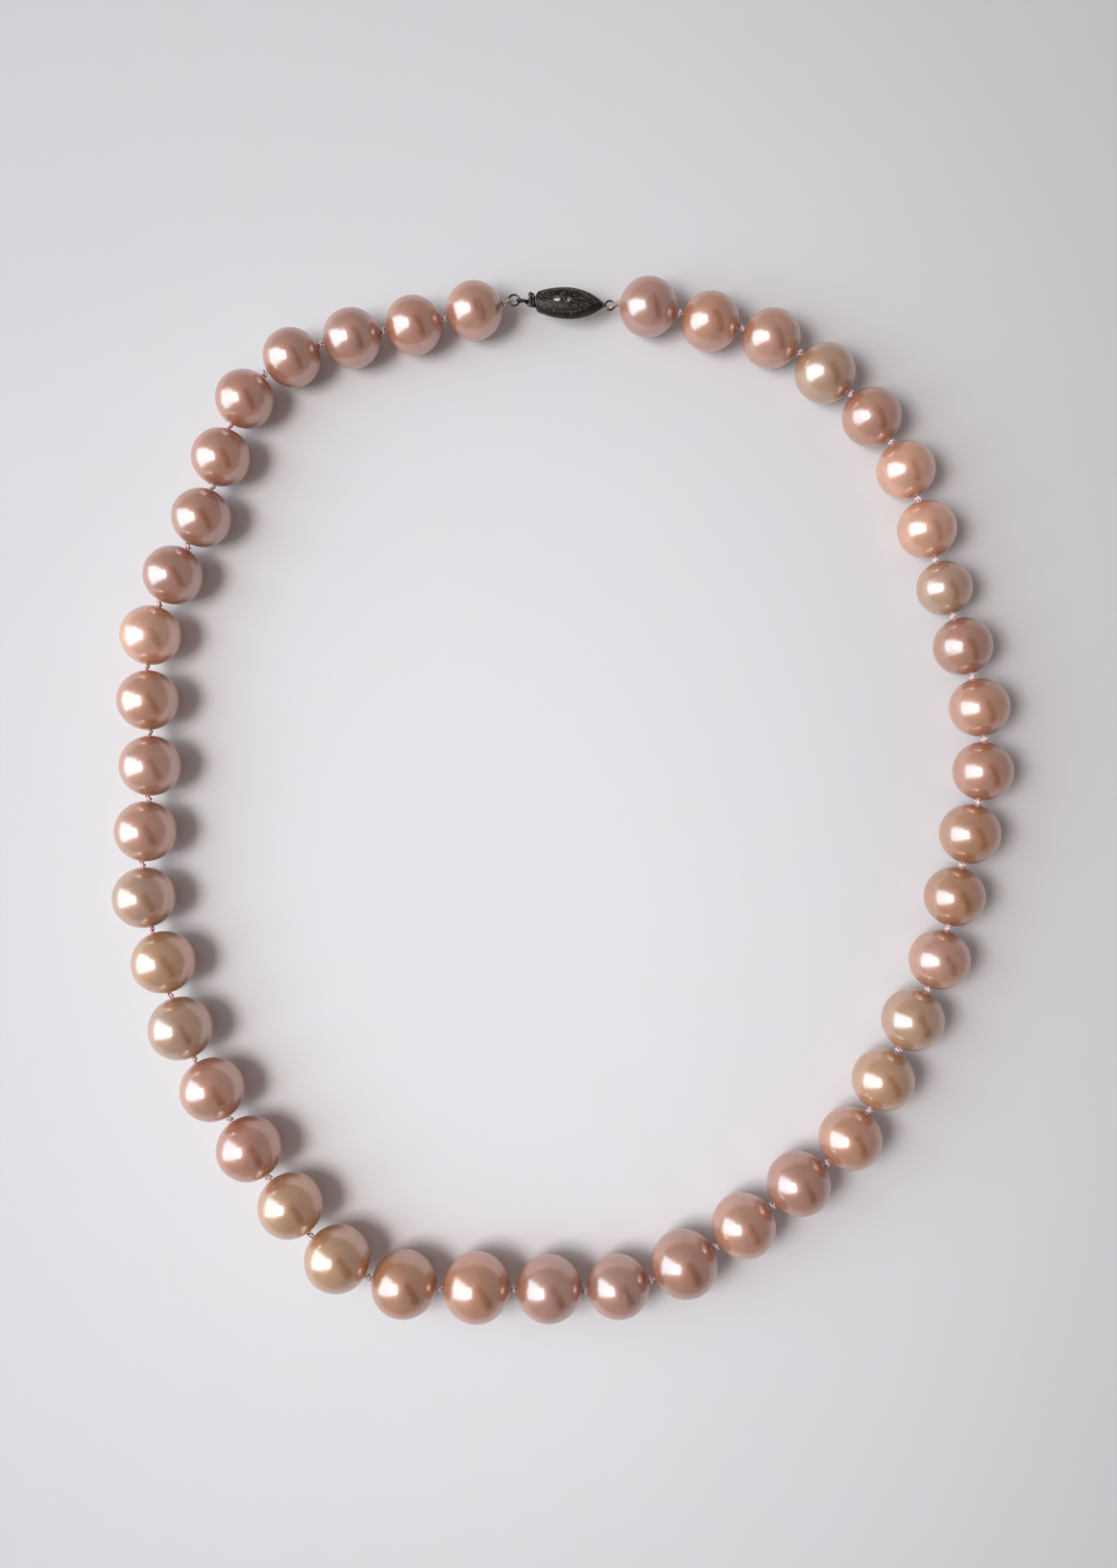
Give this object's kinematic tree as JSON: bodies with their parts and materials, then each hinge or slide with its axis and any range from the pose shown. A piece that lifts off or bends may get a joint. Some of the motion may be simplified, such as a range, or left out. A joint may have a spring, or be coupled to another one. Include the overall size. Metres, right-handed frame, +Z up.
{
  "type": "pearl necklace",
  "caption": "Graded strand of drilled pearls knotted on silk, closed by a pierced marquise fish-hook clasp, lying flat as an open loop.",
  "frame": {"origin": "under the middle of the loop, on the surface the pearls lie on", "axes": "+Y towards the clasp, +X to the right seen from above with the clasp at the top, +Z up"},
  "size_m": [0.1396, 0.162, 0.0107],
  "materials": {
    "nacre": "satin nacre lustre, peach to mauve, varying from pearl to pearl",
    "silk": "twisted pink silk",
    "oxidised_silver": "darkened silver with worn edges",
    "gimp_wire": "fine coiled gilt wire"
  },
  "bodies": {
    "clasp_housing": {"clasp_top_shell": "oxidised_silver", "clasp_bottom_shell": "oxidised_silver", "clasp_catch_bar": "oxidised_silver", "clasp_end_ring": "oxidised_silver", "silk_thread": "silk"},
    "hook": {"hook_base": "oxidised_silver"},
    "spring_leaf": {"hook_spring_leaf": "oxidised_silver"},
    "jump_ring_link": {"jump_ring": "oxidised_silver"},
    "pearl_01_link": {"pearl_01": "nacre", "gimp_right": "gimp_wire"},
    "pearl_02_link": {"pearl_02": "nacre"},
    "pearl_03_link": {"pearl_03": "nacre"},
    "pearl_04_link": {"pearl_04": "nacre"},
    "pearl_05_link": {"pearl_05": "nacre"},
    "pearl_06_link": {"pearl_06": "nacre"},
    "pearl_07_link": {"pearl_07": "nacre"},
    "pearl_08_link": {"pearl_08": "nacre"},
    "pearl_09_link": {"pearl_09": "nacre"},
    "pearl_10_link": {"pearl_10": "nacre"},
    "pearl_11_link": {"pearl_11": "nacre"},
    "pearl_12_link": {"pearl_12": "nacre"},
    "pearl_13_link": {"pearl_13": "nacre"},
    "pearl_14_link": {"pearl_14": "nacre"},
    "pearl_15_link": {"pearl_15": "nacre"},
    "pearl_16_link": {"pearl_16": "nacre"},
    "pearl_17_link": {"pearl_17": "nacre"},
    "pearl_18_link": {"pearl_18": "nacre"},
    "pearl_19_link": {"pearl_19": "nacre"},
    "pearl_20_link": {"pearl_20": "nacre"},
    "pearl_21_link": {"pearl_21": "nacre"},
    "pearl_22_link": {"pearl_22": "nacre"},
    "pearl_23_link": {"pearl_23": "nacre"},
    "pearl_24_link": {"pearl_24": "nacre"},
    "pearl_25_link": {"pearl_25": "nacre"},
    "pearl_26_link": {"pearl_26": "nacre"},
    "pearl_27_link": {"pearl_27": "nacre"},
    "pearl_28_link": {"pearl_28": "nacre"},
    "pearl_29_link": {"pearl_29": "nacre"},
    "pearl_30_link": {"pearl_30": "nacre"},
    "pearl_31_link": {"pearl_31": "nacre"},
    "pearl_32_link": {"pearl_32": "nacre"},
    "pearl_33_link": {"pearl_33": "nacre"},
    "pearl_34_link": {"pearl_34": "nacre"},
    "pearl_35_link": {"pearl_35": "nacre"},
    "pearl_36_link": {"pearl_36": "nacre"},
    "pearl_37_link": {"pearl_37": "nacre"},
    "pearl_38_link": {"pearl_38": "nacre"},
    "pearl_39_link": {"pearl_39": "nacre"},
    "pearl_40_link": {"pearl_40": "nacre"},
    "pearl_41_link": {"pearl_41": "nacre"},
    "pearl_42_link": {"pearl_42": "nacre"},
    "pearl_43_link": {"pearl_43": "nacre", "gimp_left": "gimp_wire"}
  },
  "joints": [
    {"name": "clasp_hook_slide", "type": "slide", "parent": "clasp_housing", "child": "hook", "axis": [-0.9986, 0.0523, 0], "range_m": [0, 0.0034], "deforming": ["silk_thread"]},
    {"name": "thumb_tab_press", "type": "hinge", "parent": "hook", "child": "spring_leaf", "pos_m": [0.00155, 0.07684, 0.00495], "axis": [-0.0523, -0.9986, 0], "range_deg": [0, 3], "stiffness_Nm_per_rad": 0.004, "deforming": ["silk_thread"]},
    {"name": "jump_ring_swing", "type": "hinge", "parent": "hook", "child": "jump_ring_link", "pos_m": [-0.00702, 0.07729, 0.00445], "axis": [0, 0, -1], "range_deg": [0, 8], "deforming": ["silk_thread"]},
    {"name": "end_ring_knot_bend", "type": "hinge", "parent": "clasp_housing", "child": "pearl_01_link", "pos_m": [0.00771, 0.07652, 0.00445], "axis": [0, 0, 1], "range_deg": [0, 8], "deforming": ["silk_thread"]},
    {"name": "knot_01_bend", "type": "hinge", "parent": "pearl_01_link", "child": "pearl_02_link", "pos_m": [0.01783, 0.07544, 0.00455], "axis": [0, 0, -1], "range_deg": [-28, 0], "deforming": ["silk_thread"]},
    {"name": "knot_02_bend", "type": "hinge", "parent": "pearl_02_link", "child": "pearl_03_link", "pos_m": [0.02744, 0.07315, 0.00455], "axis": [0, 0, 1], "range_deg": [0, 28], "deforming": ["silk_thread"]},
    {"name": "knot_03_bend", "type": "hinge", "parent": "pearl_03_link", "child": "pearl_04_link", "pos_m": [0.03646, 0.06929, 0.00461], "axis": [0, 0, -1], "range_deg": [-28, 0], "deforming": ["silk_thread"]},
    {"name": "knot_04_bend", "type": "hinge", "parent": "pearl_04_link", "child": "pearl_05_link", "pos_m": [0.0444, 0.06301, 0.00459], "axis": [0, 0, 1], "range_deg": [0, 28], "deforming": ["silk_thread"]},
    {"name": "knot_05_bend", "type": "hinge", "parent": "pearl_05_link", "child": "pearl_06_link", "pos_m": [0.05075, 0.05552, 0.00452], "axis": [0, 0, -1], "range_deg": [-28, 0], "deforming": ["silk_thread"]},
    {"name": "knot_06_bend", "type": "hinge", "parent": "pearl_06_link", "child": "pearl_07_link", "pos_m": [0.05487, 0.04666, 0.00452], "axis": [0, 0, 1], "range_deg": [0, 28], "deforming": ["silk_thread"]},
    {"name": "knot_07_bend", "type": "hinge", "parent": "pearl_07_link", "child": "pearl_08_link", "pos_m": [0.05773, 0.03727, 0.00439], "axis": [0, 0, -1], "range_deg": [-28, 0], "deforming": ["silk_thread"]},
    {"name": "knot_08_bend", "type": "hinge", "parent": "pearl_08_link", "child": "pearl_09_link", "pos_m": [0.06045, 0.02845, 0.00439], "axis": [0, 0, 1], "range_deg": [0, 28], "deforming": ["silk_thread"]},
    {"name": "knot_09_bend", "type": "hinge", "parent": "pearl_09_link", "child": "pearl_10_link", "pos_m": [0.06341, 0.01912, 0.00455], "axis": [0, 0, -1], "range_deg": [-28, 0], "deforming": ["silk_thread"]},
    {"name": "knot_10_bend", "type": "hinge", "parent": "pearl_10_link", "child": "pearl_11_link", "pos_m": [0.06525, 0.00938, 0.00458], "axis": [0, 0, 1], "range_deg": [0, 28], "deforming": ["silk_thread"]},
    {"name": "knot_11_bend", "type": "hinge", "parent": "pearl_11_link", "child": "pearl_12_link", "pos_m": [0.06432, -0.00046, 0.00461], "axis": [0, 0, -1], "range_deg": [-28, 0], "deforming": ["silk_thread"]},
    {"name": "knot_12_bend", "type": "hinge", "parent": "pearl_12_link", "child": "pearl_13_link", "pos_m": [0.06183, -0.01017, 0.00463], "axis": [0, 0, 1], "range_deg": [0, 28], "deforming": ["silk_thread"]},
    {"name": "knot_13_bend", "type": "hinge", "parent": "pearl_13_link", "child": "pearl_14_link", "pos_m": [0.05966, -0.01993, 0.00465], "axis": [0, 0, -1], "range_deg": [-28, 0], "deforming": ["silk_thread"]},
    {"name": "knot_14_bend", "type": "hinge", "parent": "pearl_14_link", "child": "pearl_15_link", "pos_m": [0.05647, -0.02948, 0.00474], "axis": [0, 0, 1], "range_deg": [0, 28], "deforming": ["silk_thread"]},
    {"name": "knot_15_bend", "type": "hinge", "parent": "pearl_15_link", "child": "pearl_16_link", "pos_m": [0.05194, -0.03878, 0.00481], "axis": [0, 0, -1], "range_deg": [-28, 0], "deforming": ["silk_thread"]},
    {"name": "knot_16_bend", "type": "hinge", "parent": "pearl_16_link", "child": "pearl_17_link", "pos_m": [0.04744, -0.04819, 0.00486], "axis": [0, 0, 1], "range_deg": [0, 28], "deforming": ["silk_thread"]},
    {"name": "knot_17_bend", "type": "hinge", "parent": "pearl_17_link", "child": "pearl_18_link", "pos_m": [0.04088, -0.05631, 0.00493], "axis": [0, 0, -1], "range_deg": [-28, 0], "deforming": ["silk_thread"]},
    {"name": "knot_18_bend", "type": "hinge", "parent": "pearl_18_link", "child": "pearl_19_link", "pos_m": [0.03238, -0.06286, 0.00498], "axis": [0, 0, 1], "range_deg": [0, 28], "deforming": ["silk_thread"]},
    {"name": "knot_19_bend", "type": "hinge", "parent": "pearl_19_link", "child": "pearl_20_link", "pos_m": [0.02373, -0.06919, 0.00511], "axis": [0, 0, -1], "range_deg": [-28, 0], "deforming": ["silk_thread"]},
    {"name": "knot_20_bend", "type": "hinge", "parent": "pearl_20_link", "child": "pearl_21_link", "pos_m": [0.01374, -0.07438, 0.00505], "axis": [0, 0, 1], "range_deg": [0, 28], "deforming": ["silk_thread"]},
    {"name": "jump_ring_knot_bend", "type": "hinge", "parent": "jump_ring_link", "child": "pearl_43_link", "pos_m": [-0.00867, 0.07712, 0.00445], "axis": [0, 0, -1], "range_deg": [0, 8], "deforming": ["silk_thread"]},
    {"name": "knot_42_bend", "type": "hinge", "parent": "pearl_43_link", "child": "pearl_42_link", "pos_m": [-0.01866, 0.07451, 0.00447], "axis": [0, 0, 1], "range_deg": [-28, 0], "deforming": ["silk_thread"]},
    {"name": "knot_41_bend", "type": "hinge", "parent": "pearl_42_link", "child": "pearl_41_link", "pos_m": [-0.02813, 0.07249, 0.00452], "axis": [0, 0, -1], "range_deg": [0, 28], "deforming": ["silk_thread"]},
    {"name": "knot_40_bend", "type": "hinge", "parent": "pearl_41_link", "child": "pearl_40_link", "pos_m": [-0.03782, 0.07041, 0.00453], "axis": [0, 0, 1], "range_deg": [-28, 0], "deforming": ["silk_thread"]},
    {"name": "knot_39_bend", "type": "hinge", "parent": "pearl_40_link", "child": "pearl_39_link", "pos_m": [-0.04655, 0.06587, 0.00451], "axis": [0, 0, -1], "range_deg": [0, 28], "deforming": ["silk_thread"]},
    {"name": "knot_38_bend", "type": "hinge", "parent": "pearl_39_link", "child": "pearl_38_link", "pos_m": [-0.05192, 0.0577, 0.00452], "axis": [0, 0, 1], "range_deg": [-28, 0], "deforming": ["silk_thread"]},
    {"name": "knot_37_bend", "type": "hinge", "parent": "pearl_38_link", "child": "pearl_37_link", "pos_m": [-0.05462, 0.0482, 0.00456], "axis": [0, 0, -1], "range_deg": [0, 28], "deforming": ["silk_thread"]},
    {"name": "knot_36_bend", "type": "hinge", "parent": "pearl_37_link", "child": "pearl_36_link", "pos_m": [-0.05833, 0.03903, 0.0046], "axis": [0, 0, 1], "range_deg": [-28, 0], "deforming": ["silk_thread"]},
    {"name": "knot_35_bend", "type": "hinge", "parent": "pearl_36_link", "child": "pearl_35_link", "pos_m": [-0.06277, 0.03009, 0.00463], "axis": [0, 0, -1], "range_deg": [0, 28], "deforming": ["silk_thread"]},
    {"name": "knot_34_bend", "type": "hinge", "parent": "pearl_35_link", "child": "pearl_34_link", "pos_m": [-0.06467, 0.02027, 0.00468], "axis": [0, 0, 1], "range_deg": [-28, 0], "deforming": ["silk_thread"]},
    {"name": "knot_33_bend", "type": "hinge", "parent": "pearl_34_link", "child": "pearl_33_link", "pos_m": [-0.06417, 0.0101, 0.00472], "axis": [0, 0, -1], "range_deg": [0, 28], "deforming": ["silk_thread"]},
    {"name": "knot_32_bend", "type": "hinge", "parent": "pearl_33_link", "child": "pearl_32_link", "pos_m": [-0.06431, -0.00006, 0.00473], "axis": [0, 0, 1], "range_deg": [-28, 0], "deforming": ["silk_thread"]},
    {"name": "knot_31_bend", "type": "hinge", "parent": "pearl_32_link", "child": "pearl_31_link", "pos_m": [-0.06525, -0.01026, 0.00477], "axis": [0, 0, -1], "range_deg": [0, 28], "deforming": ["silk_thread"]},
    {"name": "knot_30_bend", "type": "hinge", "parent": "pearl_31_link", "child": "pearl_30_link", "pos_m": [-0.06375, -0.02043, 0.00486], "axis": [0, 0, 1], "range_deg": [-28, 0], "deforming": ["silk_thread"]},
    {"name": "knot_29_bend", "type": "hinge", "parent": "pearl_30_link", "child": "pearl_29_link", "pos_m": [-0.06078, -0.03058, 0.00493], "axis": [0, 0, -1], "range_deg": [0, 28], "deforming": ["silk_thread"]},
    {"name": "knot_28_bend", "type": "hinge", "parent": "pearl_29_link", "child": "pearl_28_link", "pos_m": [-0.05706, -0.04051, 0.00497], "axis": [0, 0, 1], "range_deg": [-28, 0], "deforming": ["silk_thread"]},
    {"name": "knot_27_bend", "type": "hinge", "parent": "pearl_28_link", "child": "pearl_27_link", "pos_m": [-0.05155, -0.0497, 0.00503], "axis": [0, 0, -1], "range_deg": [0, 28], "deforming": ["silk_thread"]},
    {"name": "knot_26_bend", "type": "hinge", "parent": "pearl_27_link", "child": "pearl_26_link", "pos_m": [-0.04547, -0.05873, 0.00507], "axis": [0, 0, 1], "range_deg": [-28, 0], "deforming": ["silk_thread"]},
    {"name": "knot_25_bend", "type": "hinge", "parent": "pearl_26_link", "child": "pearl_25_link", "pos_m": [-0.03899, -0.06758, 0.00512], "axis": [0, 0, -1], "range_deg": [0, 28], "deforming": ["silk_thread"]},
    {"name": "knot_24_bend", "type": "hinge", "parent": "pearl_25_link", "child": "pearl_24_link", "pos_m": [-0.03004, -0.07409, 0.00515], "axis": [0, 0, 1], "range_deg": [-28, 0], "deforming": ["silk_thread"]},
    {"name": "knot_23_bend", "type": "hinge", "parent": "pearl_24_link", "child": "pearl_23_link", "pos_m": [-0.01905, -0.07573, 0.00524], "axis": [0, 0, -1], "range_deg": [0, 28], "deforming": ["silk_thread"]},
    {"name": "knot_22_bend", "type": "hinge", "parent": "pearl_23_link", "child": "pearl_22_link", "pos_m": [-0.0076, -0.07571, 0.00523], "axis": [0, 0, 1], "range_deg": [-28, 0], "deforming": ["silk_thread"]}
  ]
}
